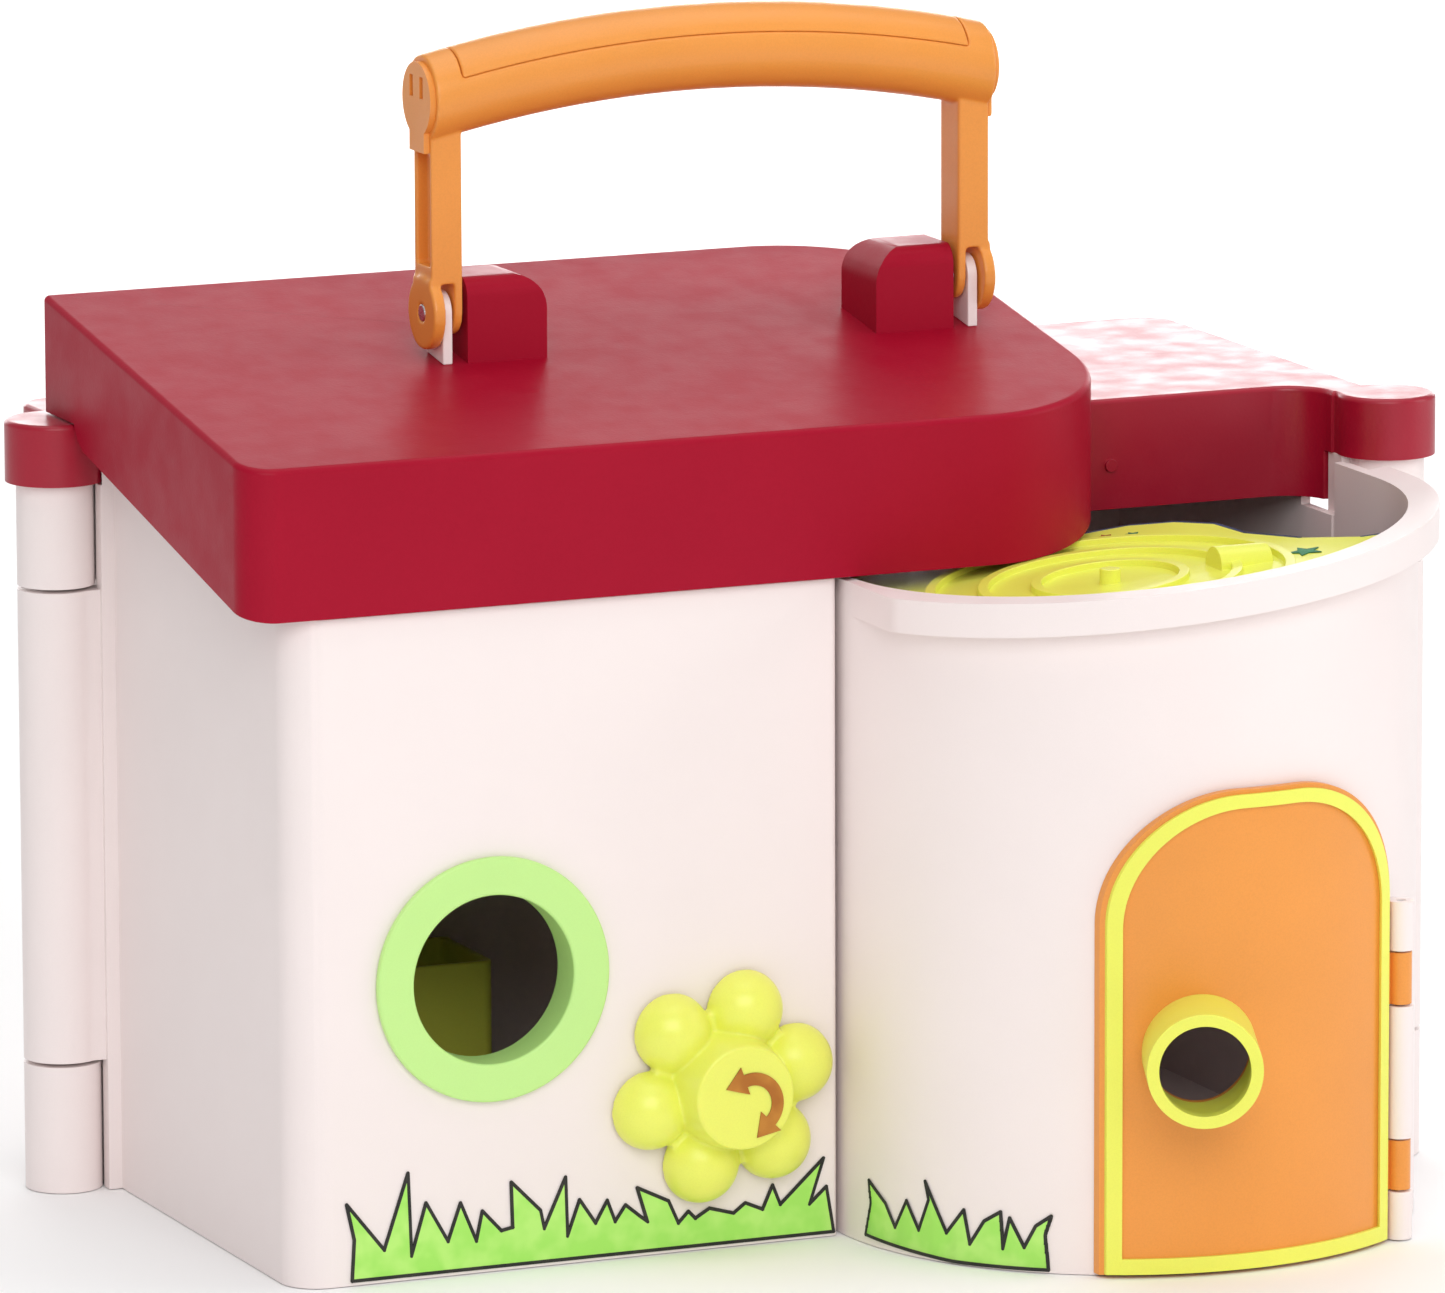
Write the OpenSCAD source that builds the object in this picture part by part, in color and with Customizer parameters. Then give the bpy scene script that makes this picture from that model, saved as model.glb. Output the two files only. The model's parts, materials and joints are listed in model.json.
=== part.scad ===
// Fold-out plastic playhouse: a rear house with two hinged wings, a carry handle and an arched door.

/* [Overall] */
// Width of the room wing's front wall
room_w = 133.3; // [115:0.1:160]
// Width of the tower wing
tower_w = 138.3; // [120:0.1:166]
// Depth from the front wall to the left hinge line
house_d = 119.4; // [104:0.1:144]
// Depth of the rear house behind the left hinge line
rear_d = 25.2; // [22:0.1:34]
// Distance from the front wall line back to the right hinge line
tower_back = 25.5; // [22:0.1:31]
// Height of the rear house's flat roof
rear_h = 181.4; // [170:0.1:218]
// Depth of the flat roof's fascia
rear_fascia = 26; // [22:0.1:30]

/* [Walls] */
// Wall thickness
wall = 2.4; // [2:0.1:3]
// Floor thickness
floor_t = 2.4; // [2:0.1:3.5]
// Gap between two sections where they close
seam = 1.6; // [1:0.1:2.4]
// Corner radius at the room's free front corner
room_r = 9; // [6:0.5:12]

/* [Hinges] */
// Distance of each hinge line outside the side walls
hinge_out = 11.2; // [10.6:0.1:12]
// Hinge knuckle radius
knuckle_r = 9; // [8:0.1:9.4]
// Hinge pin radius
pin_r = 3; // [2.5:0.1:4]
// Running clearance on every pin radius
pin_fit = 0.06; // [0.03:0.01:0.1]
// Height of the lower rear knuckle
knuckle_low = 29.9; // [24:0.1:34]
// Height of the upper rear knuckle
knuckle_high = 24.3; // [20:0.1:28]
// Gap between neighbouring knuckles
knuckle_gap = 0.9; // [0.4:0.1:1.1]

/* [Room roof] */
// Rise of the roof for each millimetre back
roof_pitch = 0.164; // [0.14:0.001:0.18]
// Height of the front fascia up to the roof surface
fascia_h = 34.5; // [30:0.5:38]
// Overhang in front of the wall
roof_front = 2.2; // [1:0.1:4]
// Roof width past the left hinge line
roof_w = 220.3; // [214:0.1:222]
// Corner radius at the front right of the roof
roof_fr = 38; // [28:1:46]
// Corner radius at the back right of the roof
roof_br = 45; // [34:1:52]
// Roof wall thickness
roof_t = 2.6; // [2.2:0.1:3]
// front-to-back depth of each block beside the handle
hump_d = 20; // [16:0.5:26]

/* [Handle] */
// Distance of the handle's centre from the room's left wall
handle_x = 128; // [122:0.5:132]
// Distance between the outer faces of the two legs
handle_w = 139.2; // [130:0.1:146]
// Depth of the pivot line from the front wall
handle_y = 63.5; // [58:0.5:70]
// Height of the grip's centre above the pivot line
handle_h = 57.3; // [50:0.1:66]
// Grip section radius
grip_r = 9.9; // [8.5:0.1:11]
// Bow radius of the grip
grip_bow = 300; // [260:1:360]
// Width of a leg
leg_w = 7.6; // [7:0.1:9]
// Depth of a leg
leg_d = 10.6; // [9:0.1:12]
// Radius of the leg's round end
leg_end_r = 8.4; // [7.5:0.1:9]

/* [Window and flower] */
// Distance of the window's centre from the left wall
window_x = 48.1; // [42:0.1:54]
// Height of the window's centre
window_z = 67.8; // [60:0.1:76]
// Outer radius of the window ring
window_r = 28.2; // [25:0.1:30]
// Radius of the clear window opening
window_hole_r = 19.4; // [16:0.1:22]
// Distance of the flower's axis from the left wall
flower_x = 104; // [98:0.1:106]
// Height of the flower's axis
flower_z = 38; // [34:0.1:42]
// Distance from the axis to each petal's centre
petal_ring = 18.3; // [17:0.1:19]
// Petal radius
petal_r = 9.2; // [8:0.1:9.8]
// Length of the flower's hub in front of the wall
hub_l = 15; // [12:0.5:18]

/* [Tower and door] */
// Outward step of the tower's rim
rim_out = 4.8; // [3.5:0.1:5.2]
// Height of the rim band
rim_h = 7.7; // [6:0.1:9]
// Rise of the rim for each millimetre to the right
rim_tilt = 0.098; // [0.08:0.001:0.105]
// Height of the door
door_h = 110.6; // [95:0.5:114]
// Angle the door covers on the tower's curve
door_arc = 63.6; // [56:0.2:66]
// Direction of the door's middle seen from the tower's centre
door_mid = -86.1; // [-88:0.1:-84]
// Thickness of the door panel
door_t = 2; // [1.6:0.1:2.4]
// Radius of the door's hinge knuckles
door_knuckle_r = 3; // [2.6:0.1:3.2]
// Length of the door's round knob tube
knob_l = 21.5; // [16:0.5:26]
// Outer radius of the knob tube
knob_r = 13.1; // [12:0.1:14.5]
// Clear radius through the knob tube
knob_hole_r = 10.3; // [9:0.1:11]

/* [Hidden] */
$fn = 96;

white = [0.95, 0.91, 0.90];
red = [0.64, 0.16, 0.23];
orange = [0.92, 0.60, 0.33];
lime = [0.90, 0.93, 0.42];
green = [0.70, 0.88, 0.46];
blue = [0.25, 0.37, 0.60];
steel = [0.66, 0.67, 0.70];

lx = -hinge_out;
ly = house_d;
house_w = room_w + seam + tower_w;
rx = house_w + hinge_out;
ry = tower_back;
back_y = house_d + rear_d;
z_low = knuckle_low;
z_cap = rear_h - 14.4;
z_high = z_cap - knuckle_high;
roof_low = rear_h - rear_fascia;
eave_z = rear_h - 27.9;
notch_z = rear_h + 0.5;
wing_back = ly - 0.8;
rear_front = ly + 0.8;
roof_back = back_y + 3;
roof_x0 = lx + 0.4;
roof_x1 = lx + roof_w + 0.4;
roof_y0 = -roof_front;
roof_y1 = ly + 7.6;
deep_x0 = roof_x1 + 2.5;
deep_y0 = ry + 16.8;
cap_r = knuckle_r + 2.5;
tower_r = tower_w / 2;
tcx = room_w + seam + tower_r;
tcy = 2;
rim_left_z = rear_h - 29.3;
rim_x0 = room_w + seam - 4;
door_a1 = door_mid + door_arc / 2;
door_r0 = tower_r + 0.3;
door_r1 = door_r0 + door_t;
door_z0 = 0.6;
door_pin_a = door_a1 + 2.8;
door_pin_r = tower_r + 3.4;
dhx = tcx + door_pin_r * cos(door_pin_a);
dhy = tcy + door_pin_r * sin(door_pin_a);
knob_a = door_mid - 13.6;
knob_dir = door_mid - 25.7;
knob_z = 51.9;
knob_wall = 1.3;
pivot_z = top_z(handle_y) + 10.8;
grip_z = pivot_z + handle_h;
leg_x = handle_w / 2;
cap_z = grip_z - (leg_x * leg_x) / (2 * grip_bow);
bench_w = 76.4;
shaft_r = 3.4;
origin_x = (lx + rx) / 2;
front_y = tcy + door_r1 * sin(knob_a) + knob_l * sin(knob_dir) + knob_r * cos(knob_dir);
origin_y = (roof_back + front_y) / 2;

function top_z(y) = eave_z + fascia_h + roof_pitch * (y - roof_y0);
function rim_z(x) = rim_left_z + rim_tilt * (x - rim_x0);

module placed()
{
  translate([-origin_x, -origin_y, 0]) children();
}

// a plan with four corner radii
module plan4(x0, x1, y0, y1, fl, fr, br, bl)
{
  polygon([[x0 + fl, y0], [x1 - fr, y0], [x1, y0 + fr], [x1, y1 - br],
    [x1 - br, y1], [x0 + bl, y1], [x0, y1 - bl], [x0, y0 + fl]]);
  translate([x0 + fl, y0 + fl]) circle(r = fl);
  translate([x1 - fr, y0 + fr]) circle(r = fr);
  translate([x1 - br, y1 - br]) circle(r = br);
  translate([x0 + bl, y1 - bl]) circle(r = bl);
}

// a prism along X from a list of [y, z] points
module side_prism(x0, x1, pts)
{
  translate([x0, 0, 0]) rotate([90, 0, 90]) linear_extrude(height = x1 - x0) polygon(pts);
}

// a prism along Y from a list of [x, z] points
module front_prism(y0, y1, pts)
{
  translate([0, y1, 0]) rotate([90, 0, 0]) linear_extrude(height = y1 - y0) polygon(pts);
}

// a cylinder along Y starting at y0
module rod_y(x, z, y0, y1, r)
{
  translate([x, y1, z]) rotate([90, 0, 0]) cylinder(r = r, h = y1 - y0);
}

// a cylinder along X
module rod_x(y, z, x0, x1, r)
{
  translate([x0, y, z]) rotate([0, 90, 0]) cylinder(r = r, h = x1 - x0);
}

module post_z(x, y, z0, z1, r)
{
  translate([x, y, z0]) cylinder(r = r, h = z1 - z0);
}

// the tower's plan: a half circle in front, straight sides behind
module tower_plan(r, y1)
{
  intersection()
  {
    translate([tcx, tcy]) circle(r = r);
    translate([tcx - r - 5, tcy - r - 5]) square([2 * r + 10, r + 5]);
  }
  translate([tcx - r, tcy]) square([2 * r, y1 - tcy]);
}

// ---------- rear house ----------
module rear_plan(inset)
{
  x0 = inset;
  x1 = house_w - inset;
  y1 = back_y - inset;
  polygon([[x0, rear_front], [room_w + seam, rear_front], [room_w + seam, ry + 2],
    [x1, ry + 2], [x1, y1], [x0, y1]]);
}

module rear_knuckle(x, y, toward)
{
  post_z(x, y, 0, z_low, knuckle_r);
  post_z(x, y, z_high, z_cap, knuckle_r);
  translate([min(x, x + toward), y + 0.6, 0]) cube([abs(toward), 7, z_low]);
  translate([min(x, x + toward), y + 0.6, z_high]) cube([abs(toward), 7, z_cap - z_high]);
}

rear_bosses = [[6, back_y - 6], [tcx - tower_r + 20, back_y - 6],
  [house_w - 6, back_y - 6], [house_w - 6, ry + 24]];
rear_tab_z = rear_h - 16;

// a lug on the wall that a roof screw comes up through
module tab(x, y, z)
{
  post_z(x, y, z - 2.4, z, 5);
}

// a boss that hangs from the roof down to a lug
module roof_boss(x, y, z0, z1)
{
  difference()
  {
    post_z(x, y, z0, z1, 3.4);
    post_z(x, y, z0 - 1, z0 + 11, 1.3);
  }
}

module screw(x, y, z)
{
  post_z(x, y, z - 4, z - 2.4, 2.8);
  post_z(x, y, z - 4, z + 9, 1.3);
}

// the fascia's own volume, which the walls keep out of
module rear_fascia_ring()
{
  translate([0, 0, roof_low - 0.4]) linear_extrude(height = rear_fascia + 2) difference()
  {
    rear_roof_outline(-1);
    rear_roof_outline(roof_t + 0.1);
  }
}

module rear_walls() difference()
{
  union()
  {
    linear_extrude(height = floor_t) rear_plan(0);
    // back wall
    translate([0, back_y - wall, 0]) cube([house_w, wall, rear_h - roof_t]);
    // short left wall
    translate([0, rear_front, 0]) cube([wall, back_y - rear_front, rear_h - roof_t]);
    // right wall
    translate([house_w - wall, ry + 2, 0])
      cube([wall, back_y - ry - 2, rear_h - roof_t]);
    // door post of the deep room
    translate([room_w + seam, rear_front, 0]) cube([wall, 6, roof_low - 2.4]);
  }
  rear_fascia_ring();
}

module rear_shell() color(white) placed() difference()
{
  union()
  {
    rear_walls();
    rear_knuckle(lx, ly, hinge_out + wall);
    rear_knuckle(rx, ry, -hinge_out - wall);
    for (b = rear_bosses) tab(b[0], b[1], rear_tab_z);
    // shelf ledges
    translate([wall - 0.5, back_y - 13, 80]) cube([3, 12, 2.5]);
    translate([room_w - 3, back_y - 4.4, 80]) cube([6, 3, 2.5]);
  }
  // the roof's neck hangs in front of the right wall's top
  translate([house_w - 14, ry - 3, roof_low - 2.4]) cube([14.1, deep_y0 - ry + 3, 60]);
  post_z(lx, ly, 2, rear_h, pin_r + pin_fit);
  post_z(rx, ry, 2, rear_h, pin_r + pin_fit);
  for (b = rear_bosses) post_z(b[0], b[1], rear_tab_z - 5, rear_tab_z + 1, 1.6);
  // room for the wings' long knuckles
  post_z(lx, ly, z_low, z_high, knuckle_r + 0.6);
  post_z(rx, ry, z_low, z_high, knuckle_r + 0.6);
}

module rear_roof_plan(g)
{
  r = 8;
  polygon([[roof_x0 + g, rear_front + g], [deep_x0 + g, rear_front + g],
    [deep_x0 + g, deep_y0 + g], [house_w - 0.5 + g, deep_y0 + g],
    [house_w - 0.5 + g, ry + 4], [rx - 0.4 - g, ry + 4], [rx - 0.4 - g, roof_back - r],
    [rx - 0.4 - r, roof_back - g], [roof_x0 + r, roof_back - g], [roof_x0 + g, roof_back - r]]);
  translate([rx - 0.4 - r, roof_back - r]) circle(r = r - g);
  translate([roof_x0 + r, roof_back - r]) circle(r = r - g);
}

module rear_roof_outline(g)
{
  difference()
  {
    union()
    {
      rear_roof_plan(g);
      // neck fillet
      translate([house_w - 10.5 + g, deep_y0 - 10 + g]) square([10, 10]);
    }
    translate([house_w - 10.5, deep_y0 - 10]) circle(r = 10 + g);
    // in front of the neck
    translate([house_w - 40, ry - 40]) square([100, 44.8]);
  }
}

module rear_roof() color(red) placed() difference()
{
  union()
  {
    difference()
    {
      translate([0, 0, roof_low]) linear_extrude(height = rear_fascia) rear_roof_outline(0);
      translate([0, 0, roof_low - 1])
        linear_extrude(height = rear_fascia - roof_t + 1) rear_roof_outline(roof_t);
      // room for the upper knuckles
      post_z(lx, ly, roof_low - 1, z_cap, knuckle_r + 0.3);
      post_z(rx, ry, roof_low - 1, z_cap, knuckle_r + 0.3);
      translate([lx - 1, rear_front - 1, roof_low - 1])
        cube([hinge_out + wall + 2, 10, z_cap - roof_low + 1]);
      translate([rx - hinge_out - wall - 1, ry + 0.3, roof_low - 1])
        cube([hinge_out + wall + 2, 8.2, z_cap - roof_low + 1]);
      // the side walls' tops pass inside the fascia
    }
    // hinge caps
    post_z(lx, ly, z_cap, rear_h, cap_r);
    post_z(rx, ry, z_cap, rear_h, cap_r);
    translate([rx - 11, ry, z_cap]) cube([10.6, 10, rear_h - z_cap]);
    for (b = rear_bosses) roof_boss(b[0], b[1], rear_tab_z, rear_h - roof_t + 0.4);
    // mould boss on the fascia
    rod_y(deep_x0 + 9.5, roof_low + 10.4, deep_y0 - 0.8, deep_y0 + 0.5, 1.5);
  }
  post_z(lx, ly, z_cap - 1, z_cap + 6, pin_r + pin_fit);
  post_z(rx, ry, z_cap - 1, z_cap + 6, pin_r + pin_fit);
}

module hinge_pin(x, y)
{
  post_z(x, y, 2, z_cap + 5.6, pin_r);
}

module left_hinge_pin() color(steel) placed() hinge_pin(lx, ly);

module right_hinge_pin() color(steel) placed() hinge_pin(rx, ry);

module rear_shelf() color(lime) placed()
{
  translate([wall, back_y - wall - 17, 82.5]) cube([room_w - wall, 17, 2.4]);
  translate([wall, back_y - wall - 17, 84.9]) cube([room_w - wall, 1.8, 5]);
}

module rear_screws() color(steel) placed()
{
  for (b = rear_bosses) screw(b[0], b[1], rear_tab_z);
}

// ---------- room wing ----------
room_bosses = [[6, 14], [room_w - 6, 14], [6, ly - 34], [room_w - 6, ly - 34]];
room_tab_z = eave_z + 10;

module room_top_cut()
{
  side_prism(-20, room_w + 20, [[-30, top_z(-30) - roof_t], [ly + 40, top_z(ly + 40) - roof_t],
    [ly + 40, top_z(ly) + 60], [-30, top_z(ly) + 60]]);
}

module room_shell() color(white) placed() difference()
{
  union()
  {
    difference()
    {
      linear_extrude(height = rear_h + 40)
        plan4(0, room_w, 0, wing_back, room_r, 1.5, 0.5, 0.5);
      translate([0, 0, floor_t]) linear_extrude(height = rear_h + 60)
        plan4(wall, room_w - wall, wall, wing_back + 20, room_r - wall, 1, 0.5, 0.5);
    }
    // step from the wall out to the hinge
    translate([-3.2, ly - 8.8, 0]) cube([3.2 + wall, 8, rear_h - 0.6]);
    post_z(lx, ly, z_low + knuckle_gap, z_high - knuckle_gap, knuckle_r);
    translate([lx, ly - 7.6, z_low + knuckle_gap])
      cube([hinge_out + wall, 6.8, z_high - z_low - 2 * knuckle_gap]);
    for (b = room_bosses) tab(b[0], b[1], room_tab_z);
    // guide collar for the flower's shaft
    rod_y(flower_x, flower_z, wall - 0.5, wall + 6, shaft_r + 2.6);
  }
  room_top_cut();
  // the front fascia hangs in front of the wall's recessed top
  translate([-5, -5, eave_z - 0.5]) cube([room_w + 10, 5.5, 100]);
  post_z(lx, ly, -1, rear_h, pin_r + pin_fit);
  post_z(lx, ly, -1, z_low + knuckle_gap, knuckle_r + 0.6);
  post_z(lx, ly, z_high - knuckle_gap, z_cap, knuckle_r + 0.6);
  post_z(lx, ly, z_cap - 0.5, rear_h + 5, cap_r + 0.6);
  rod_y(window_x, window_z, -1, wall + 1, window_hole_r + 2);
  rod_y(flower_x, flower_z, -1, wall + 8, shaft_r + pin_fit);
  for (b = room_bosses) post_z(b[0], b[1], room_tab_z - 5, room_tab_z + 1, 1.6);
}

module roof_profile(y0, y1, drop, foot)
{
  yk = ly - 27.4;
  zk = notch_z - 7.7;
  slope = (zk - eave_z) / (yk - roof_y0);
  polygon([[y0, eave_z + slope * (y0 - roof_y0) - foot], [yk, zk - foot], [ly - 18, zk + 2.1 - foot],
    [ly - 14.6, zk + 4.2 - foot], [ly - 12.8, zk + 6.6 - foot], [ly - 12.2, notch_z - foot],
    [y1, notch_z - foot], [y1, top_z(y1) - drop], [y0, top_z(y0) - drop]]);
}

module hump(x0, x1, side)
{
  y0 = handle_y - 5;
  y1 = y0 + hump_d;
  z0 = top_z(y0) - 1;
  z1 = pivot_z + 8;
  r = 8;
  re = 5;
  xr = side > 0 ? x1 - r : x0 + r;
  xs = side > 0 ? x0 : x0 + r;
  intersection()
  {
    translate([0, y1 + 1, 0]) rotate([90, 0, 0]) linear_extrude(height = hump_d + 2)
    {
      translate([xs, z0]) square([x1 - x0 - r, z1 - z0]);
      translate([x0, z0]) square([x1 - x0, z1 - z0 - r]);
      translate([xr, z1 - r]) circle(r = r);
    }
    translate([x0 - 1, 0, 0]) rotate([90, 0, 90]) linear_extrude(height = x1 - x0 + 2)
    {
      translate([y0, z0 - 1]) square([hump_d, z1 + 1.3 - re - z0]);
      translate([y0 + re, z0 - 1]) square([hump_d - 2 * re, z1 - z0 + 2]);
      translate([y0 + re, z1 + 0.3 - re]) circle(r = re);
      translate([y1 - re, z1 + 0.3 - re]) circle(r = re);
    }
  }
}

module room_roof_skin() difference()
{
  union()
  {
    intersection()
    {
      translate([0, 0, eave_z - 10]) linear_extrude(height = 90)
        plan4(roof_x0, roof_x1, roof_y0, roof_y1, 8, roof_fr, roof_br, 1.5);
      translate([roof_x0 - 5, 0, 0]) rotate([90, 0, 90]) linear_extrude(height = roof_w + 10)
        roof_profile(roof_y0 - 5, roof_y1 + 5, 0, 0);
    }
    hump(handle_x - leg_x + leg_w + 1.2, handle_x - leg_x + leg_w + 20.8, 1);
    hump(handle_x + leg_x - leg_w - 20.8, handle_x + leg_x - leg_w - 1.2, -1);
  }
  intersection()
  {
    translate([0, 0, eave_z - 20]) linear_extrude(height = 110)
      plan4(roof_x0 + roof_t, roof_x1 - roof_t, roof_y0 + roof_t, roof_y1 - roof_t,
        8 - roof_t, roof_fr - roof_t, roof_br - roof_t, 0.5);
    translate([roof_x0 - 5, 0, 0]) rotate([90, 0, 90]) linear_extrude(height = roof_w + 10)
      roof_profile(roof_y0 - 5, roof_y1 + 5, roof_t, 30);
  }
}

module room_roof() color(red) placed()
{
  room_roof_skin();
  for (b = room_bosses) roof_boss(b[0], b[1], room_tab_z, top_z(b[1]) - roof_t + 0.8);
}

module room_screws() color(steel) placed()
{
  for (b = room_bosses) screw(b[0], b[1], room_tab_z);
}

module window_ring() color(green) placed() difference()
{
  union()
  {
    rod_y(window_x, window_z, -2, 0, window_r);
    rod_y(window_x, window_z, -2, wall + 6, window_hole_r + 2);
  }
  rod_y(window_x, window_z, -3, wall + 8, window_hole_r);
}

module room_grass() color(green) placed()
  front_prism(-0.3, 0, [[13.7, 1.2], [14.3, 10.6], [12.5, 18.9], [21.5, 7.6], [27.4, 24.8],
    [28.1, 5.6], [31.7, 17.5], [37, 8.1], [40.1, 16.7], [43.9, 7.5], [45.4, 14.3], [50, 9.3],
    [52.8, 9.8], [52.5, 20.3], [59.6, 13.1], [60.5, 8.8], [65.8, 20.2], [66.2, 6.5],
    [69.2, 14.6], [73.1, 8.8], [76, 13.8], [77.9, 8.7], [80.5, 12.3], [84.2, 9.2],
    [85.9, 7.9], [83.4, 16], [91.1, 12.2], [93.5, 6.8], [96, 9.3], [97.7, 7.5],
    [101.2, 9.5], [107.2, 7.8], [110.1, 9.9], [114.4, 8], [116.9, 13.4], [118.8, 8.7],
    [129.6, 18.5], [126.1, 8.1], [130.3, 11.8], [132.1, 1.1]]);

module handle_post(x)
{
  // x is the outer face of the leg on its left
  side_prism(x + 2.7, x + 5.1, [[handle_y - 5, top_z(handle_y - 5)],
    [handle_y + 5, top_z(handle_y + 5)], [handle_y + 5, pivot_z], [handle_y - 5, pivot_z]]);
  rod_x(handle_y, pivot_z, x + 2.7, x + 5.1, 5);
}

module handle_post_left() color(white) placed() difference()
{
  handle_post(handle_x - leg_x);
  rod_x(handle_y, pivot_z, handle_x - leg_x - 1, handle_x - leg_x + 9, 2 + pin_fit);
}

module handle_post_right() color(white) placed() difference()
{
  handle_post(handle_x + leg_x - 7.8);
  rod_x(handle_y, pivot_z, handle_x + leg_x - 9, handle_x + leg_x + 1, 2 + pin_fit);
}

module bench() color(lime) placed() difference()
{
  translate([wall + 0.6, wing_back - 44, floor_t]) linear_extrude(height = 52)
    plan4(0, bench_w, 0, 30, 3, 3, 2, 2);
  translate([wall + 0.6, wing_back - 44, 20]) linear_extrude(height = 60)
    plan4(2, bench_w - 2, 2, 28, 1, 1, 1, 1);
}

// leaf that clicks over the flower's toothed wheel
module click_spring() color(white) placed()
{
  translate([flower_x - 6, wall, flower_z + 22]) cube([12, 12, 3]);
  translate([flower_x - 1, wall + 7, flower_z + 11.7]) cube([2, 4, 10.4]);
}

// ---------- handle ----------
module grip_arc(r, x_half)
{
  intersection()
  {
    translate([handle_x, handle_y, grip_z - grip_bow]) rotate([90, 0, 0])
      rotate_extrude($fn = 360) translate([grip_bow, 0]) circle(r = r, $fn = 64);
    translate([handle_x - x_half, handle_y - 20, grip_z - 40]) cube([2 * x_half, 40, 80]);
  }
}

// removes everything above the strip's seat
module strip_cut(x_half)
{
  intersection()
  {
    translate([handle_x, handle_y, grip_z - grip_bow]) rotate([90, 0, 0])
      rotate_extrude($fn = 360)
      {
        translate([grip_bow + 4, -20]) square([24, 40]);
        translate([grip_bow + 3.7, 8.6]) square([1, 6]);
        translate([grip_bow + 3.7, -14.6]) square([1, 6]);
      }
    translate([handle_x - x_half, handle_y - 20, grip_z - 40]) cube([2 * x_half, 40, 80]);
  }
}

module grip_top(x_half)
{
  intersection()
  {
    translate([handle_x, handle_y, grip_z - grip_bow]) rotate([90, 0, 0])
      rotate_extrude($fn = 360) intersection()
      {
        translate([grip_bow, 0]) circle(r = grip_r, $fn = 64);
        translate([grip_bow + 4, -20]) square([20, 40]);
      }
    translate([handle_x - x_half, handle_y - 20, grip_z - 40]) cube([2 * x_half, 40, 80]);
  }
}

module leg(x0, outer)
{
  // x0 is the leg's left face, outer is -1 for the left leg and 1 for the right
  translate([x0, handle_y - leg_d / 2, pivot_z + 7]) cube([leg_w, leg_d, handle_h - 12]);
  xd = outer < 0 ? x0 - 0.6 : x0 + leg_w - 2.2;
  xi = outer < 0 ? x0 + leg_w - 2 : x0;
  rod_x(handle_y, pivot_z, xd, xd + 2.8, leg_end_r);
  rod_x(handle_y, pivot_z, xi, xi + 2, leg_d / 2);
  translate([xd, handle_y - leg_d / 2, pivot_z]) cube([2.8, leg_d, 8]);
  translate([xi, handle_y - leg_d / 2, pivot_z]) cube([2, leg_d, 8]);
}

module handle_frame() color(orange) placed() difference()
{
  union()
  {
    grip_arc(grip_r, leg_x);
    leg(handle_x - leg_x, -1);
    leg(handle_x + leg_x - leg_w, 1);
  }
  strip_cut(leg_x - 6.4);
  rod_x(handle_y, pivot_z, handle_x - leg_x - 5, handle_x + leg_x + 5, 2);
  // recess in the outer face of each leg
  translate([handle_x - leg_x - 1, handle_y - 4, pivot_z + 11])
    cube([4.4, 8, cap_z - 12.4 - pivot_z - 11]);
  translate([handle_x + leg_x - 3.4, handle_y - 4, pivot_z + 11])
    cube([4.4, 8, cap_z - 12.4 - pivot_z - 11]);
  // slot for the posts
  translate([handle_x - leg_x + 2.4, handle_y - 12, pivot_z - 12]) cube([3, 24, 19]);
  translate([handle_x + leg_x - 5.4, handle_y - 12, pivot_z - 12]) cube([3, 24, 19]);
}

module handle_strip() color(orange) placed() grip_top(leg_x - 6.65);

module end_cap(x0)
{
  difference()
  {
    translate([x0, 0, 0]) rotate([90, 0, 90]) linear_extrude(height = 1.4)
    {
      translate([handle_y, cap_z]) circle(r = 8.6);
      translate([handle_y - 4.4, cap_z - 12]) square([8.8, 12]);
    }
    translate([x0 - 1, handle_y - 4, cap_z + 0.4]) cube([4, 2, 5]);
    translate([x0 - 1, handle_y + 2, cap_z + 0.4]) cube([4, 2, 5]);
  }
}

module end_cap_left() color(orange) placed() end_cap(handle_x - leg_x - 1.4);

module end_cap_right() color(orange) placed() end_cap(handle_x + leg_x);

module handle_pins() color(steel) placed()
{
  rod_x(handle_y, pivot_z, handle_x - leg_x - 0.6, handle_x - leg_x + leg_w, 2);
  rod_x(handle_y, pivot_z, handle_x + leg_x - leg_w, handle_x + leg_x + 0.6, 2);
}

// ---------- flower knob ----------
module flower_knob() color(lime) placed() difference()
{
  intersection()
  {
    union()
    {
      for (k = [0 : 5])
      {
        a = 12.5 + 60 * k;
        translate([flower_x + petal_ring * cos(a), -0.4, flower_z + petal_ring * sin(a)])
          sphere(r = petal_r, $fn = 48);
      }
      rod_y(flower_x, flower_z, -4, -0.7, petal_ring);
      translate([flower_x, -0.6, flower_z]) rotate([90, 0, 0])
        cylinder(r1 = 14.2, r2 = 11.9, h = hub_l - 0.6);
    }
    translate([flower_x - 40, -hub_l - 5, flower_z - 40]) cube([80, hub_l + 4.3, 80]);
  }
  rod_y(flower_x, flower_z, -hub_l + 4, 1, shaft_r);
}

module arrow_head(a, r, s)
{
  rotate([0, 0, a]) translate([r, 0]) rotate([0, 0, s > 0 ? 0 : 180])
    polygon([[-3.4, 0], [3.4, 0], [0, 5]]);
}

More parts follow.
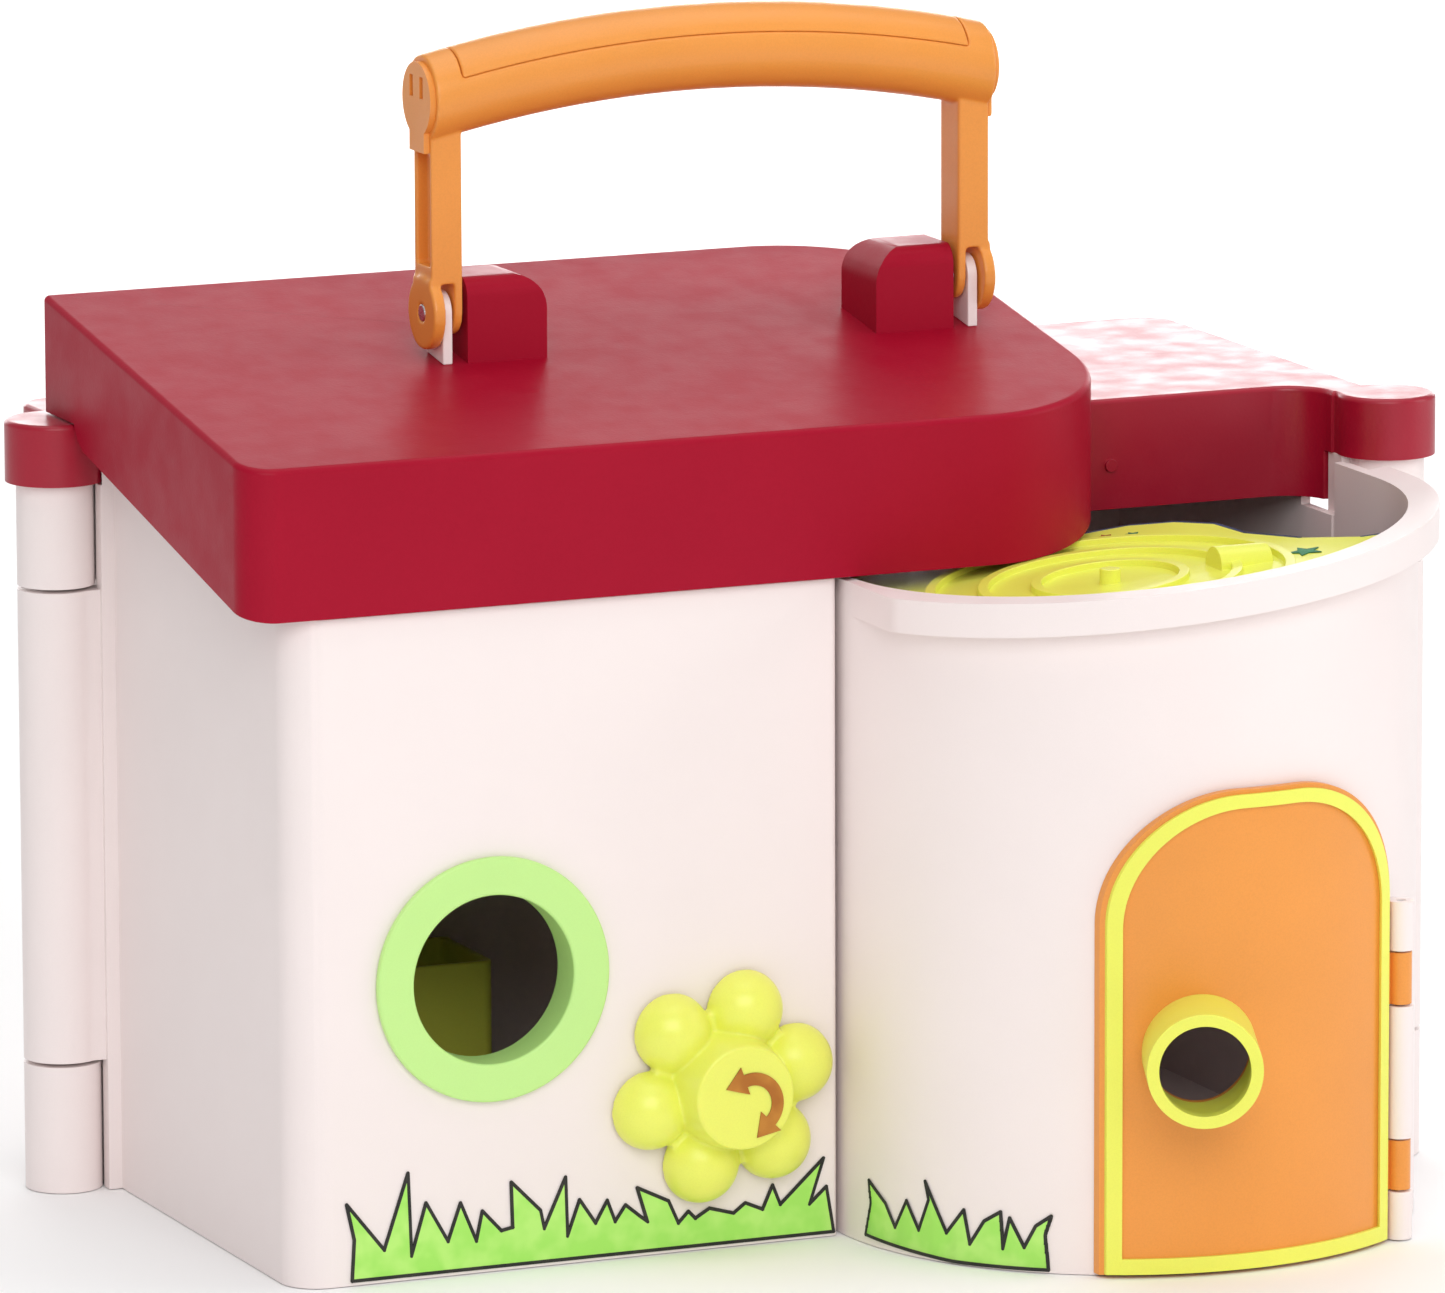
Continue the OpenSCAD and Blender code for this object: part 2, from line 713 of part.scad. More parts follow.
module flower_arrow() color(orange) placed()
  translate([flower_x + 1.8, -hub_l, flower_z - 1.6]) rotate([90, 0, 0])
    linear_extrude(height = 0.3)
    {
      difference()
      {
        circle(r = 7.4);
        circle(r = 4.5);
        polygon([[0, 0], [12 * cos(110), 12 * sin(110)], [12 * cos(160), 12 * sin(160)],
          [12 * cos(215), 12 * sin(215)], [12 * cos(265), 12 * sin(265)],
          [12 * cos(315), 12 * sin(315)]]);
      }
      arrow_head(109, 6, 1);
      arrow_head(-44, 6, -1);
    }

module knob_shaft() color(lime) placed()
  rod_y(flower_x, flower_z, -hub_l + 4, wall + 12, shaft_r);

module click_wheel() color(lime) placed() difference()
{
  union()
  {
    rod_y(flower_x, flower_z, wall + 6.6, wall + 12, 9.5);
    for (k = [0 : 11])
      translate([flower_x + 9.5 * cos(30 * k + 15), wall + 12, flower_z + 9.5 * sin(30 * k + 15)])
        rotate([90, 0, 0]) cylinder(r = 1.6, h = 5.4, $fn = 24);
  }
  rod_y(flower_x, flower_z, wall, wall + 14, shaft_r);
}

// ---------- tower wing ----------
module under_rim(drop)
{
  far_x = tcx + tower_r + 5;
  top = z_cap - 0.6;
  front_prism(-120, 80, [[rim_x0 - 20, -10], [rx + 20, -10],
    [rx + 20, min(rim_z(rx + 20), top) - drop], [far_x, min(rim_z(far_x), top) - drop],
    [rim_x0 - 20, rim_z(rim_x0 - 20) - drop]]);
}

// arched outline seen square on, inset by g
module arch_prism(g, foot)
{
  hw = door_r1 * sin(door_arc / 2) - g;
  rr = hw * 0.8;
  top = door_z0 + door_h - g;
  translate([tcx, tcy, 0]) rotate([0, 0, door_mid + 90]) rotate([90, 0, 0])
    linear_extrude(height = 120)
    {
      translate([-hw, door_z0 + foot]) square([2 * hw, top - rr - door_z0 - foot]);
      translate([-hw + rr, top - rr]) circle(r = rr);
      translate([hw - rr, top - rr]) circle(r = rr);
      translate([-hw + rr, top - rr]) square([2 * (hw - rr), rr]);
    }
}

module tower_band(r0, r1, z0, z1)
{
  translate([tcx, tcy, z0]) difference()
  {
    cylinder(r = r1, h = z1 - z0);
    translate([0, 0, -1]) cylinder(r = r0, h = z1 - z0 + 2);
  }
}

door_knuckles = [[0.2, 11.3], [23.8, 54.6], [67.6, 79]];

// plan of a door knuckle with its web, in the hinge's own direction
module knuckle_plan(r, x0, x1, y0, y1, bore)
{
  translate([tcx, tcy]) rotate([0, 0, door_pin_a]) difference()
  {
    union()
    {
      translate([door_pin_r, 0]) circle(r = r);
      translate([x0, y0]) square([x1 - x0, y1 - y0]);
    }
    translate([door_pin_r, 0]) circle(r = bore);
  }
}

module tower_knuckle(z0, z1)
{
  translate([0, 0, z0]) linear_extrude(height = z1 - z0)
    knuckle_plan(door_knuckle_r, tower_r - 1, tower_r + 2, -1.4, 2.3, 1.2);
}

module tower_shell() color(white) placed() difference()
{
  union()
  {
    intersection()
    {
      difference()
      {
        linear_extrude(height = rear_h) tower_plan(tower_r, ry - 0.8);
        translate([0, 0, floor_t]) linear_extrude(height = rear_h) tower_plan(tower_r - wall, ry + 20);
      }
      under_rim(0);
    }
    // rim band
    intersection()
    {
      difference()
      {
        linear_extrude(height = rear_h) tower_plan(tower_r + rim_out, 12);
        translate([0, 0, -1]) linear_extrude(height = rear_h + 2) tower_plan(tower_r - wall, 40);
        translate([rim_x0 - 40, -100, 0]) cube([44.2, 200, rear_h]);
      }
      difference()
      {
        under_rim(0);
        under_rim(rim_h);
      }
    }
    post_z(rx, ry, z_low + knuckle_gap, z_high - knuckle_gap, knuckle_r);
    translate([house_w - wall, ry - 7.6, z_low + knuckle_gap])
      cube([hinge_out + wall, 6.8, z_high - z_low - 2 * knuckle_gap]);
    for (k = door_knuckles) tower_knuckle(k[0], k[1]);
    // ledges the tray sits on
    intersection()
    {
      for (a = [186, 225, 265, 305])
        translate([tcx, tcy, 120]) rotate([0, 0, a]) translate([tower_r - wall - 3, -4, 0])
          cube([3.6, 8, 50]);
      tray_slab(-8, -3.6);
    }
  }
  post_z(rx, ry, -1, rear_h, pin_r + pin_fit);
  post_z(rx, ry, -1, z_low + knuckle_gap, knuckle_r + 0.6);
  post_z(rx, ry, z_high - knuckle_gap, rear_h, cap_r + 0.6);
  // doorway
  intersection()
  {
    arch_prism(3.4, 3.4);
    tower_band(tower_r - wall - 2, tower_r + 2, floor_t, door_h);
  }
}

module tower_grass() color(green) placed() intersection()
{
  translate([tcx, tcy, 0]) rotate([0, 0, -147 + 90]) rotate([90, 0, 0])
    linear_extrude(height = 90) polygon([[-27, 2.2], [-25, 9.9], [-25.8, 15.1], [-20, 10.9],
      [-16.8, 5.9], [-13.2, 12.7], [-9.5, 6.5], [-6.6, 14], [-7.6, 18.1], [-1.6, 7], [3, 12.9],
      [4.6, 5.2], [8.2, 10.9], [12.2, 13.4], [12.8, 5], [14.4, 12.2], [17.8, 5.7], [20.4, 10.8],
      [23.8, 13.3], [22.4, 8.8], [23.2, 0.8], [0, 0.6]]);
  tower_band(tower_r + 0.03, tower_r + 0.3, 0, 30);
}

// the open corner of the tray, seen from above
module tray_plan(r, g)
{
  intersection()
  {
    tower_plan(r, ry - 3.5);
    polygon([[tcx - 90, -90], [tcx + 90, -90], [tcx + 90, g - 38], [tcx + 47 + g, g - 30],
      [tcx + 36 + g, g - 20], [tcx + 29 + g, g - 6], [tcx + 28 + g, 8], [tcx + 22 + g, 17],
      [tcx + 12 + g, 22], [tcx - 90, 22]]);
  }
}

function tray_z(x) = rim_left_z - 5.1 + rim_tilt * (x - rim_x0);

// a slab that follows the tray's tilt, between two offsets from its top
module tray_slab(o0, o1)
{
  xa = rim_x0 - 10;
  front_prism(-120, 60, [[xa, tray_z(xa) + o0], [rx, tray_z(rx) + o0],
    [rx, tray_z(rx) + o1], [xa, tray_z(xa) + o1]]);
}

module tray_base() color(blue) placed() intersection()
{
  linear_extrude(height = rear_h) tray_plan(tower_r - wall - 0.4, 4.5);
  tray_slab(-3.6, -2);
}

module tray_ring(r)
{
  translate([tcx - 16, -29, 0]) difference()
  {
    cylinder(r = r, h = rear_h);
    translate([0, 0, -1]) cylinder(r = r - 2.4, h = rear_h + 2);
  }
}

module tray() color(lime) placed()
{
  intersection()
  {
    linear_extrude(height = rear_h) tray_plan(tower_r - wall - 2.6, 0);
    tray_slab(-2, 0);
  }
  // raised play ridges
  intersection()
  {
    union()
    {
      tray_ring(42);
      tray_ring(30);
      tray_ring(18);
    }
    linear_extrude(height = rear_h) tray_plan(tower_r - wall - 4, -2);
    tray_slab(-1, 1.6);
  }
  post_z(tcx - 16, -29, tray_z(tcx - 16) - 1, tray_z(tcx - 16) + 3.4, 2.4);
  intersection()
  {
    rod_x(-33, tray_z(tcx + 13), tcx + 8, tcx + 21, 4.4);
    tray_slab(-1, 8);
  }
}

function star_points(x, y, r) = [for (i = [0 : 9])
  [x + (i % 2 == 0 ? r : r * 0.45) * sin(36 * i), y + (i % 2 == 0 ? r : r * 0.45) * cos(36 * i)]];

module stars(list)
{
  intersection()
  {
    for (s = list)
      linear_extrude(height = rear_h) polygon(star_points(s[0], s[1], s[2]));
    tray_slab(0.004, 0.3);
  }
}

module tray_stars_green() color([0.15, 0.5, 0.35]) placed()
  stars([[tcx + 30.4, -34.4, 4.2], [tcx + 24, -51, 3], [tcx + 8.7, 12, 2]]);

module tray_stars_red() color([0.6, 0.2, 0.12]) placed()
  stars([[tcx + 3, 14.5, 2], [tcx + 20.5, -25, 1.8], [tcx + 36, -43, 2], [tcx + 31, -47, 1.6]]);

module door_pin() color(steel) placed()
  translate([dhx, dhy, 0.5]) cylinder(r = 1.17, h = 78.3);

// ---------- door ----------
module door_knuckle(z0, z1)
{
  translate([0, 0, z0]) linear_extrude(height = z1 - z0)
    knuckle_plan(door_knuckle_r - 0.4, tower_r + 0.6, tower_r + 2, -4.7, -1, 1.2 + pin_fit);
}

module door_panel() color(orange) placed() difference()
{
  union()
  {
    intersection()
    {
      arch_prism(0, 0);
      tower_band(door_r0, door_r1, 0, door_z0 + door_h + 4);
    }
    door_knuckle(11.8, 23.3);
    door_knuckle(55.1, 67.1);
  }
  knob_axis_rod(-10, 6, knob_r - knob_wall);
}

// a rod along the knob's own slanted axis, measured out from the panel's face
module knob_axis_rod(d0, d1, rad)
{
  translate([tcx + door_r1 * cos(knob_a), tcy + door_r1 * sin(knob_a), knob_z])
    rotate([0, 0, knob_dir]) translate([d0, 0, 0]) rotate([0, 90, 0])
      cylinder(r = rad, h = d1 - d0);
}

module door_trim() color(lime) placed() intersection()
{
  difference()
  {
    arch_prism(1, 0.2);
    arch_prism(4.1, 3.8);
  }
  tower_band(door_r1 + 0.03, door_r1 + 1, 0, door_z0 + door_h);
}

module door_knob() color(lime) placed() difference()
{
  knob_axis_rod(-8, knob_l, knob_r);
  translate([tcx, tcy, 0]) cylinder(r = door_r1, h = 200);
  knob_axis_rod(-20, knob_l + 1, knob_hole_r);
  knob_axis_rod(-20, knob_l - 3.6, knob_r - knob_wall);
}

rear_shell();
rear_roof();
left_hinge_pin();
right_hinge_pin();
rear_shelf();
rear_screws();
room_shell();
room_roof();
window_ring();
room_grass();
handle_post_left();
handle_post_right();
bench();
room_screws();
click_spring();
handle_frame();
handle_strip();
end_cap_left();
end_cap_right();
handle_pins();
flower_knob();
flower_arrow();
knob_shaft();
click_wheel();
tower_shell();
tower_grass();
tray_base();
tray();
tray_stars_green();
tray_stars_red();
door_pin();
door_panel();
door_trim();
door_knob();
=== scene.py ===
"""Looks for the plastic playhouse: materials, softened edges, printed marks, light and camera.

Lengths are in metres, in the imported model's own frame: +X right along the front, -Y out of
the front, +Z up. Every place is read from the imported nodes.
"""

import json
import math

import bmesh
import bpy
import numpy as np
from mathutils import Matrix, Vector


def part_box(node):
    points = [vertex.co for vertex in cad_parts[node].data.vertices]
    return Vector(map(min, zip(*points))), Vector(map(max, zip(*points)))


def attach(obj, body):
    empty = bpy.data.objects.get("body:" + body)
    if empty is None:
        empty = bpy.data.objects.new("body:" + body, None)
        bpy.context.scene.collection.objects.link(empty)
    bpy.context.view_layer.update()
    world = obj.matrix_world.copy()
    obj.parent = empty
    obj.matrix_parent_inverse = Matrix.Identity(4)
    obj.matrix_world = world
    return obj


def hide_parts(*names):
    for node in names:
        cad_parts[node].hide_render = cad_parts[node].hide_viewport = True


MM = 0.001

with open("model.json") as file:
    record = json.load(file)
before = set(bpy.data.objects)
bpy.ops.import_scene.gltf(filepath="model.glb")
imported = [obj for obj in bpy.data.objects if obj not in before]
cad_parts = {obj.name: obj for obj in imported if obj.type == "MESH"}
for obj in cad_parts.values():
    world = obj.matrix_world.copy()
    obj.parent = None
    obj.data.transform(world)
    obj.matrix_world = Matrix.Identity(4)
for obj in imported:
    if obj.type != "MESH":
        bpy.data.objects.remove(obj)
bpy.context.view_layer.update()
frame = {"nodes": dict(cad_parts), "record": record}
nodes = frame["nodes"]


# ---------------------------------------------------------------- materials


def srgb(r, g, b):
    """Linear colour of an 8-bit display colour."""
    out = []
    for v in (r, g, b):
        c = v / 255
        out.append(c / 12.92 if c <= 0.04045 else ((c + 0.055) / 1.055) ** 2.4)
    return (*out, 1.0)


def link(tree, a, b):
    tree.links.new(a, b)


def node_at(tree, kind, x, y, **values):
    n = tree.nodes.new(kind)
    n.location = (x, y)
    for key, value in values.items():
        if key in n.inputs:
            n.inputs[key].default_value = value
        else:
            setattr(n, key, value)
    return n


def noise(tree, coords, size, detail, x, y):
    """Noise whose features are about `size` metres across."""
    n = node_at(tree, "ShaderNodeTexNoise", x, y)
    n.inputs["Scale"].default_value = 1 / size
    n.inputs["Detail"].default_value = detail
    link(tree, coords, n.inputs["Vector"])
    return n


def map_range(tree, value, lo, hi, to_lo, to_hi, x, y):
    n = node_at(tree, "ShaderNodeMapRange", x, y)
    n.inputs["From Min"].default_value = lo
    n.inputs["From Max"].default_value = hi
    n.inputs["To Min"].default_value = to_lo
    n.inputs["To Max"].default_value = to_hi
    link(tree, value, n.inputs["Value"])
    return n.outputs["Result"]


def moulded(
    name,
    colour,
    roughness=0.38,
    grain=0.5 * MM,
    grain_depth=0.02 * MM,
    drift=0.05,
    specular=0.5,
    scuffs=0.35,
    glow=0.0,
):
    """Injection-moulded plastic: spark-eroded grain, flow drift in the colour, faint handling scuffs."""
    mat = bpy.data.materials.new(name)
    mat.use_nodes = True
    tree = mat.node_tree
    shader = tree.nodes["Principled BSDF"]
    coords = node_at(tree, "ShaderNodeTexCoord", -1500, 0).outputs["Object"]

    flow = noise(tree, coords, 35 * MM, 3, -1300, 300)
    dark = tuple(c * (1 - drift) for c in colour[:3]) + (1,)
    pale = tuple(min(1, c * (1 + drift * 0.6) + drift * 0.02) for c in colour[:3]) + (1,)
    body = node_at(tree, "ShaderNodeMix", -800, 300, data_type="RGBA")
    link(tree, map_range(tree, flow.outputs["Fac"], 0.3, 0.7, 0, 1, -1050, 300), body.inputs["Factor"])
    body.inputs["A"].default_value = dark
    body.inputs["B"].default_value = pale

    speck = noise(tree, coords, grain * 0.8, 2, -1300, 0)
    tint = node_at(tree, "ShaderNodeMix", -500, 300, data_type="RGBA", blend_type="MULTIPLY")
    tint.inputs["Factor"].default_value = 1
    link(tree, body.outputs["Result"], tint.inputs["A"])
    ramp = node_at(tree, "ShaderNodeMix", -800, 60, data_type="RGBA")
    ramp.inputs["A"].default_value = (1 - drift, 1 - drift, 1 - drift, 1)
    ramp.inputs["B"].default_value = (1, 1, 1, 1)
    link(tree, map_range(tree, speck.outputs["Fac"], 0.35, 0.6, 0, 1, -1050, 60), ramp.inputs["Factor"])
    link(tree, ramp.outputs["Result"], tint.inputs["B"])
    link(tree, tint.outputs["Result"], shader.inputs["Base Color"])

    rub = noise(tree, coords, 9 * MM, 5, -1300, -260)
    base_rough = map_range(
        tree, rub.outputs["Fac"], 0.35, 0.65, roughness - 0.04, roughness + 0.05, -1050, -260
    )
    stretch = node_at(tree, "ShaderNodeMapping", -1300, -480)
    stretch.inputs["Scale"].default_value = (1, 5, 9)
    stretch.inputs["Rotation"].default_value = (0.3, 0.5, 0.8)
    link(tree, coords, stretch.inputs["Vector"])
    lines = noise(tree, stretch.outputs["Vector"], 12 * MM, 7, -1050, -480)
    scuff = map_range(tree, lines.outputs["Fac"], 0.62, 0.72, 0, 0.10 * scuffs, -800, -480)
    total = node_at(tree, "ShaderNodeMath", -500, -260, operation="ADD")
    link(tree, base_rough, total.inputs[0])
    link(tree, scuff, total.inputs[1])
    link(tree, total.outputs[0], shader.inputs["Roughness"])

    fine = noise(tree, coords, grain, 3, -800, -700)
    sink = noise(tree, coords, 28 * MM, 1, -800, -900)
    low = node_at(tree, "ShaderNodeBump", -500, -900)
    low.inputs["Strength"].default_value = 0.02
    low.inputs["Distance"].default_value = 0.2 * MM
    link(tree, sink.outputs["Fac"], low.inputs["Height"])
    bump = node_at(tree, "ShaderNodeBump", -250, -700)
    bump.inputs["Strength"].default_value = 0.6
    bump.inputs["Distance"].default_value = grain_depth
    link(tree, fine.outputs["Fac"], bump.inputs["Height"])
    link(tree, low.outputs["Normal"], bump.inputs["Normal"])
    link(tree, bump.outputs["Normal"], shader.inputs["Normal"])

    shader.inputs["Specular IOR Level"].default_value = specular
    if glow:
        shader.inputs["Subsurface Weight"].default_value = glow
        shader.inputs["Subsurface Radius"].default_value = (1.2 * MM, 0.8 * MM, 0.5 * MM)
        shader.inputs["Subsurface Scale"].default_value = 1.0
    return mat


def printed(name, colour, other, patch=7 * MM, roughness=0.5):
    """Screen-printed vinyl: two close inks that drift into each other, with a fine dot in the ink."""
    mat = bpy.data.materials.new(name)
    mat.use_nodes = True
    tree = mat.node_tree
    shader = tree.nodes["Principled BSDF"]
    coords = node_at(tree, "ShaderNodeTexCoord", -1200, 0).outputs["Object"]
    drift = noise(tree, coords, patch, 2, -1000, 200)
    ink = node_at(tree, "ShaderNodeMix", -500, 200, data_type="RGBA")
    ink.inputs["A"].default_value = colour
    ink.inputs["B"].default_value = other
    link(tree, map_range(tree, drift.outputs["Fac"], 0.4, 0.62, 0, 1, -750, 200), ink.inputs["Factor"])
    link(tree, ink.outputs["Result"], shader.inputs["Base Color"])
    dots = node_at(tree, "ShaderNodeTexVoronoi", -1000, -200)
    dots.inputs["Scale"].default_value = 1 / (0.35 * MM)
    link(tree, coords, dots.inputs["Vector"])
    link(
        tree,
        map_range(tree, dots.outputs["Distance"], 0, 0.8, roughness - 0.05, roughness + 0.07, -750, -200),
        shader.inputs["Roughness"],
    )
    bump = node_at(tree, "ShaderNodeBump", -500, -400)
    bump.inputs["Strength"].default_value = 0.3
    bump.inputs["Distance"].default_value = 0.01 * MM
    link(tree, dots.outputs["Distance"], bump.inputs["Height"])
    link(tree, bump.outputs["Normal"], shader.inputs["Normal"])
    return mat


def steel(name):
    """Drawn steel wire: fine lines round the pin and small dull spots."""
    mat = bpy.data.materials.new(name)
    mat.use_nodes = True
    tree = mat.node_tree
    shader = tree.nodes["Principled BSDF"]
    shader.inputs["Metallic"].default_value = 1
    coords = node_at(tree, "ShaderNodeTexCoord", -1200, 0).outputs["Object"]
    spots = noise(tree, coords, 3 * MM, 4, -1000, 200)
    tone = node_at(tree, "ShaderNodeMix", -500, 200, data_type="RGBA")
    tone.inputs["A"].default_value = (0.48, 0.49, 0.52, 1)
    tone.inputs["B"].default_value = (0.70, 0.71, 0.73, 1)
    link(tree, map_range(tree, spots.outputs["Fac"], 0.35, 0.65, 0, 1, -750, 200), tone.inputs["Factor"])
    link(tree, tone.outputs["Result"], shader.inputs["Base Color"])
    squeeze = node_at(tree, "ShaderNodeMapping", -1000, -200)
    squeeze.inputs["Scale"].default_value = (0.1, 0.1, 1)
    link(tree, coords, squeeze.inputs["Vector"])
    lines = noise(tree, squeeze.outputs["Vector"], 0.12 * MM, 2, -750, -200)
    rough = map_range(tree, lines.outputs["Fac"], 0.3, 0.7, 0.22, 0.4, -500, -200)
    link(tree, rough, shader.inputs["Roughness"])
    bump = node_at(tree, "ShaderNodeBump", -500, -400)
    bump.inputs["Strength"].default_value = 0.3
    bump.inputs["Distance"].default_value = 0.01 * MM
    link(tree, lines.outputs["Fac"], bump.inputs["Height"])
    link(tree, bump.outputs["Normal"], shader.inputs["Normal"])
    return mat


WHITE = moulded("white_plastic", srgb(246, 234, 232), 0.42, 0.35 * MM, 0.012 * MM, 0.012, 0.4)
RED = moulded("red_plastic", srgb(164, 10, 42), 0.4, 0.7 * MM, 0.05 * MM, 0.03, 0.14)
RED_REAR = moulded("red_rear_plastic", srgb(164, 10, 42), 0.36, 0.7 * MM, 0.05 * MM, 0.03, 0.5)
LIME = moulded("lime_plastic", srgb(240, 243, 98), 0.34, 0.4 * MM, 0.012 * MM, 0.03, 0.5, glow=0.12)
FLOWER = moulded("flower_plastic", srgb(242, 246, 108), 0.32, 0.4 * MM, 0.012 * MM, 0.03, 0.5, glow=0.2)
ORANGE = moulded("orange_plastic", srgb(238, 154, 66), 0.36, 0.5 * MM, 0.02 * MM, 0.04, 0.5, glow=0.08)
RING = moulded("green_plastic", srgb(198, 241, 146), 0.42, 0.4 * MM, 0.012 * MM, 0.02, 0.45, glow=0.1)
BLUE = moulded("blue_plastic", srgb(58, 88, 132), 0.4, 0.4 * MM, 0.015 * MM, 0.05, 0.5)
GRASS = printed("grass_print", srgb(168, 234, 100), srgb(188, 242, 120))
ARROW = printed("arrow_print", srgb(176, 104, 22), srgb(196, 128, 40))
STARS = printed("star_print", srgb(28, 118, 84), srgb(40, 140, 92), 3 * MM)
RED_STARS = printed("red_star_print", srgb(150, 52, 30), srgb(176, 70, 36), 3 * MM)
BLUE_LINE = printed("blue_line_print", srgb(30, 44, 84), srgb(44, 66, 110))
LINE = printed("black_line_print", srgb(24, 24, 22), srgb(40, 38, 34))
STEEL = steel("steel_wire")

SLOT_LOOKS = {
    "wall_white": WHITE,
    "roof_red": RED,
    "lime": LIME,
    "orange": ORANGE,
    "ring_green": RING,
    "sticker_green": GRASS,
    "sticker_orange": ARROW,
    "sticker_red": RED_STARS,
    "sticker_teal": STARS,
    "blue": BLUE,
    "steel": STEEL,
}
NODE_LOOKS = {"flower_knob": FLOWER, "rear_roof": RED_REAR}

# how far each node's edges are softened, in millimetres; the rest take DEFAULT_EDGE
DEFAULT_EDGE = 0.35
EDGES = {
    "room_roof": 0.9,
    "rear_roof": 0.8,
    "handle_frame": 0.8,
    "handle_strip": 0.5,
    "end_cap_left": 0.8,
    "end_cap_right": 0.8,
    "window_ring": 0.7,
    "door_knob": 0.6,
    "door_trim": 0.4,
    "tray": 0.5,
    "bench": 1.0,
    "room_grass": 0,
    "tower_grass": 0,
    "flower_arrow": 0,
    "tray_stars_green": 0,
    "tray_stars_red": 0,
}


def soften(obj, width, crest=0):
    """Joins the split corners, clears the flat facets and rounds the true edges.

    `crest` is the larger rounding, in millimetres, of the edges in the group "crest".
    """
    weld = obj.modifiers.new("weld", "WELD")
    weld.merge_threshold = 0.002 * MM
    flat = obj.modifiers.new("flat", "DECIMATE")
    flat.decimate_type = "DISSOLVE"
    flat.angle_limit = math.radians(0.6)
    if crest:
        top = obj.modifiers.new("crest", "BEVEL")
        top.width = crest * MM
        top.segments = 5
        top.limit_method = "VGROUP"
        top.vertex_group = "crest"
        top.use_clamp_overlap = False
    if width:
        edge = obj.modifiers.new("edge", "BEVEL")
        edge.width = width * MM
        edge.segments = 3
        edge.limit_method = "ANGLE"
        edge.angle_limit = math.radians(32)
        edge.use_clamp_overlap = True
        edge.harden_normals = False
        edge.miter_outer = "MITER_ARC"
    normals = obj.modifiers.new("normals", "WEIGHTED_NORMAL")
    normals.keep_sharp = True
    normals.weight = 80


record = frame["record"]
slot_of = {s["node"]: s["material_slot"] for s in record["subparts"]}


def crest_group(obj, spare=None):
    """Marks the corners of the largest upward face, except inside `spare`, as the group "crest"."""
    mesh = obj.data
    top = max((p for p in mesh.polygons if p.normal.z > 0.9), key=lambda p: p.area)
    normal, level = top.normal.copy(), top.normal.dot(top.center)
    group = obj.vertex_groups.new(name="crest")
    on_plane = [v for v in mesh.vertices if abs(normal.dot(v.co) - level) < 0.02 * MM]
    if spare:
        lo, hi = spare
        on_plane = [v for v in on_plane if not (lo.x < v.co.x < hi.x and lo.y < v.co.y < hi.y)]
    group.add([v.index for v in on_plane], 1, "REPLACE")


# the plan area round the two blocks that stand on the room roof beside the handle
BLOCKS_FRONT_LEFT = Vector((-12, -14, 0)) * MM
BLOCKS_BACK_RIGHT = Vector((12, 18, 0)) * MM
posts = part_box("handle_post_left")[0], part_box("handle_post_right")[1]
crest_group(nodes["room_roof"], (posts[0] + BLOCKS_FRONT_LEFT, posts[1] + BLOCKS_BACK_RIGHT))
crest_group(nodes["rear_roof"])

# how far the upper edges of the roofs are rounded, in millimetres
CRESTS = {"room_roof": 1.3, "rear_roof": 1.2}

for name, obj in nodes.items():
    look = NODE_LOOKS.get(name, SLOT_LOOKS[slot_of[name]])
    obj.data.materials.clear()
    obj.data.materials.append(look)
    obj.data.shade_smooth()
    soften(obj, EDGES.get(name, DEFAULT_EDGE), CRESTS.get(name, 0))


# ---------------------------------------------------------------- rebuilt and added pieces


def new_piece(name, mesh, body, look, smooth=True):
    obj = bpy.data.objects.new(name, mesh)
    bpy.context.scene.collection.objects.link(obj)
    mesh.materials.clear()
    mesh.materials.append(look)
    if smooth:
        mesh.shade_smooth()
    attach(obj, body)
    return obj


def melted(node, voxel, passes):
    """A node's solid remeshed finely and relaxed, so that every inner and outer corner is filleted."""
    source = nodes[node]
    work = bpy.data.objects.new("work", source.data.copy())
    bpy.context.scene.collection.objects.link(work)
    work.modifiers.new("weld", "WELD").merge_threshold = 0.002 * MM
    grid = work.modifiers.new("grid", "REMESH")
    grid.mode = "VOXEL"
    grid.voxel_size = voxel
    relax = work.modifiers.new("relax", "SMOOTH")
    relax.factor = 0.5
    relax.iterations = passes
    evaluated = work.evaluated_get(bpy.context.evaluated_depsgraph_get())
    mesh = bpy.data.meshes.new_from_object(evaluated)
    bpy.data.objects.remove(work)
    return mesh


def rebuild(node, piece, body, voxel, passes):
    look = nodes[node].data.materials[0]
    obj = new_piece(piece, melted(node, voxel, passes), body, look)
    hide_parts(node)
    return obj


rebuild("handle_frame", "handle_body", "handle", 0.42 * MM, 5)
rebuild("flower_knob", "flower_head", "flower", 0.4 * MM, 7)


def circle_through(points):
    """Centre and radius of the circle that best fits some points, seen from above."""
    rows = np.array([[p.x, p.y, 1] for p in points])
    squares = np.array([p.x**2 + p.y**2 for p in points])
    a, b, c = np.linalg.lstsq(rows, squares, rcond=None)[0]
    return a / 2, b / 2, math.sqrt(c + a * a / 4 + b * b / 4)


def ring_of(edges):
    """Vertex numbers in order round one closed loop of edges."""
    after = {}
    for a, b in edges:
        after.setdefault(a, []).append(b)
        after.setdefault(b, []).append(a)
    start = min(after)
    path, last = [start], None
    while True:
        step = [v for v in after[path[-1]] if v != last]
        last = path[-1]
        if not step or step[0] == start:
            return path
        path.append(step[0])


